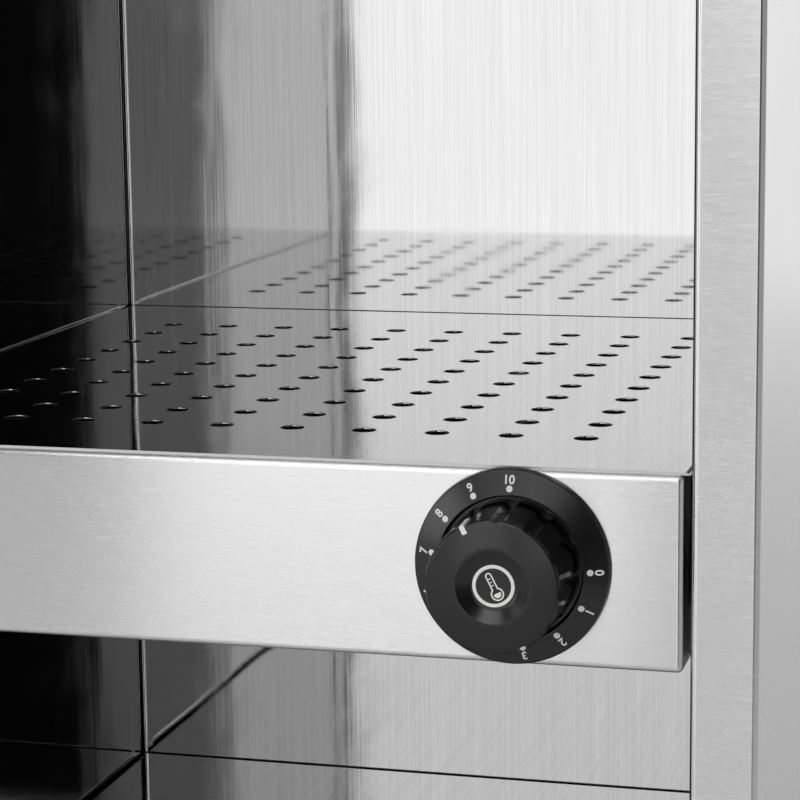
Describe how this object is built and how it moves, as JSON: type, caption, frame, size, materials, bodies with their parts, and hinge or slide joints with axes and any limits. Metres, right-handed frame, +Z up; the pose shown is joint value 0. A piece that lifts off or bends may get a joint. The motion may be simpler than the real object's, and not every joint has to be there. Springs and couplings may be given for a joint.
{
  "type": "cup warmer",
  "caption": "Open-fronted stainless steel cup warmer with a heated perforated shelf, a plain shelf above and below, and a thermostat knob on the control panel.",
  "frame": {"origin": "centre of the object's footprint box, on the plane that the rubber feet rest on", "axes": "+Z up, the open front with the knob faces -Y, +X to the right seen from the front"},
  "size_m": [0.353, 0.393, 0.59],
  "materials": {
    "brushed_steel": "fine horizontal grain",
    "polished_steel": "bright rolled, mirror-like",
    "mill_steel": "plain mill finish",
    "zinc_fasteners": "zinc plated",
    "element_sheath": "heat-tinted sheath",
    "ceramic": "unglazed",
    "cutout_body": "moulded phenolic",
    "thermostat_case": "pressed steel case",
    "shaft_steel": "turned",
    "copper": "drawn copper",
    "block_plastic": "moulded",
    "live_insulation": "silicone sleeve",
    "switched_insulation": "silicone sleeve",
    "neutral_insulation": "silicone sleeve",
    "earth_insulation": "silicone sleeve",
    "gland_plastic": "moulded nylon",
    "seal_rubber": "moulded",
    "bezel_plastic": "satin black with white print",
    "knob_plastic": "fine matt face, glossy side",
    "pointer_white": "white inlay",
    "foot_rubber": "moulded"
  },
  "bodies": {
    "cabinet": {"base_shelf": "polished_steel", "base_tray": "brushed_steel", "bulb_clips": "mill_steel", "ceiling_panel": "polished_steel", "control_fascia": "brushed_steel", "cover_screws": "zinc_fasteners", "cutout_wire": "live_insulation", "dial_bezel": "bezel_plastic", "earth_stud": "zinc_fasteners", "earth_wire": "earth_insulation", "element_clips": "mill_steel", "element_seals": "ceramic", "fascia_nuts": "zinc_fasteners", "fascia_screws": "zinc_fasteners", "foot_front_left": "foot_rubber", "foot_front_right": "foot_rubber", "foot_nuts": "zinc_fasteners", "foot_rear_left": "foot_rubber", "foot_rear_right": "foot_rubber", "foot_screws": "zinc_fasteners", "front_header": "brushed_steel", "gland_body": "gland_plastic", "gland_cap": "gland_plastic", "gland_nut": "gland_plastic", "gland_seal": "seal_rubber", "heat_reflector": "mill_steel", "heated_shelf": "polished_steel", "heater_box_floor": "mill_steel", "heating_element": "element_sheath", "left_inner_panel": "polished_steel", "left_outer_panel": "brushed_steel", "left_shelf_rail": "mill_steel", "live_wire": "live_insulation", "neutral_wire": "neutral_insulation", "rail_rivets": "zinc_fasteners", "rear_inner_panel": "polished_steel", "rear_outer_panel": "brushed_steel", "rear_panel_screws": "zinc_fasteners", "right_inner_panel": "polished_steel", "right_outer_panel": "brushed_steel", "right_shelf_rail": "mill_steel", "sensor_bulb": "copper", "shelf_pegs": "zinc_fasteners", "switched_wire": "switched_insulation", "terminal_block": "block_plastic", "thermal_cutout": "cutout_body", "thermostat_body": "thermostat_case", "thermostat_capillary": "copper", "thermostat_screws": "zinc_fasteners", "top_cover": "brushed_steel", "upper_shelf": "brushed_steel"},
    "knob": {"control_knob": "knob_plastic", "knob_pointer": "pointer_white", "thermostat_shaft": "shaft_steel"}
  },
  "joints": [
    {"name": "knob_turn", "type": "hinge", "parent": "cabinet", "child": "knob", "pos_m": [0.0994, -0.1675, 0.22], "axis": [0, -1, 0], "range_deg": [-27, 243]}
  ]
}
